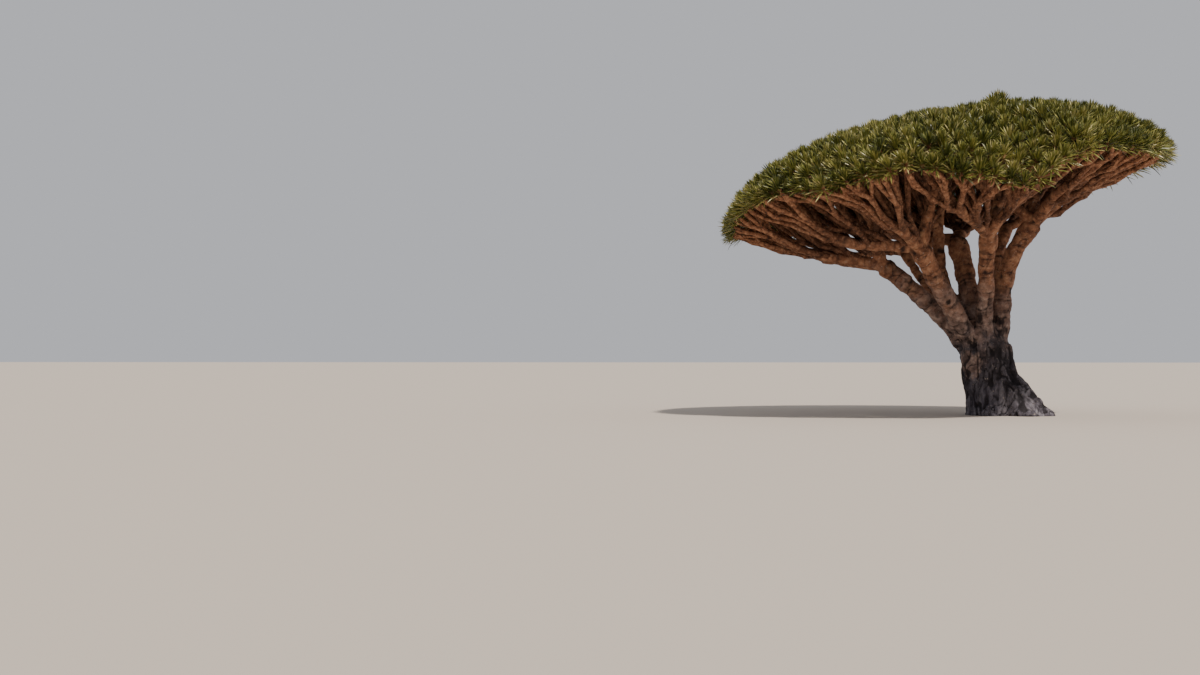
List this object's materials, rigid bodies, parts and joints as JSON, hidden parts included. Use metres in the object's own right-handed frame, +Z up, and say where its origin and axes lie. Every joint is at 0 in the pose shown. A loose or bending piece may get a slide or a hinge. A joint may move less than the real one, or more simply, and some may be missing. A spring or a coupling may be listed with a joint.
{
  "type": "dragon blood tree",
  "caption": "Dragon blood tree: a short stout trunk, boughs that fan out and fork again, and a dense tilted umbrella of sword leaves.",
  "frame": {"origin": "middle of the trunk's flat cut at ground level", "axes": "+Z up; +X towards the raised side of the crown, to the right in the picture; the picture looks along +Y"},
  "size_m": [9.8309, 9.9532, 6.8225],
  "materials": {
    "trunk_bark": "rough, furrowed, dark grey with pale flecks",
    "bark": "rough, matt, rust brown",
    "foliage": "satin, dark green to olive"
  },
  "bodies": {
    "root": {"bough_back": "bark", "bough_back_left": "bark", "bough_back_right": "bark", "bough_front": "bark", "bough_front_left": "bark", "bough_left": "bark", "bough_low_back_left": "bark", "bough_right": "bark", "branch_middle_1": "bark", "branch_middle_2": "bark", "branch_middle_3": "bark", "branch_middle_4": "bark", "branch_middle_5": "bark", "branch_middle_6": "bark", "branch_middle_7": "bark", "branch_rim_1": "bark", "branch_rim_10": "bark", "branch_rim_11": "bark", "branch_rim_12": "bark", "branch_rim_13": "bark", "branch_rim_2": "bark", "branch_rim_3": "bark", "branch_rim_4": "bark", "branch_rim_5": "bark", "branch_rim_6": "bark", "branch_rim_7": "bark", "branch_rim_8": "bark", "branch_rim_9": "bark", "branch_top_1": "bark", "branch_top_2": "bark", "branch_top_3": "bark", "foliage_middle_1": "foliage", "foliage_middle_2": "foliage", "foliage_middle_3": "foliage", "foliage_middle_4": "foliage", "foliage_middle_5": "foliage", "foliage_middle_6": "foliage", "foliage_middle_7": "foliage", "foliage_rim_1": "foliage", "foliage_rim_10": "foliage", "foliage_rim_11": "foliage", "foliage_rim_12": "foliage", "foliage_rim_13": "foliage", "foliage_rim_2": "foliage", "foliage_rim_3": "foliage", "foliage_rim_4": "foliage", "foliage_rim_5": "foliage", "foliage_rim_6": "foliage", "foliage_rim_7": "foliage", "foliage_rim_8": "foliage", "foliage_rim_9": "foliage", "foliage_top_1": "foliage", "foliage_top_2": "foliage", "foliage_top_3": "foliage", "trunk": "trunk_bark"}
  },
  "joints": []
}
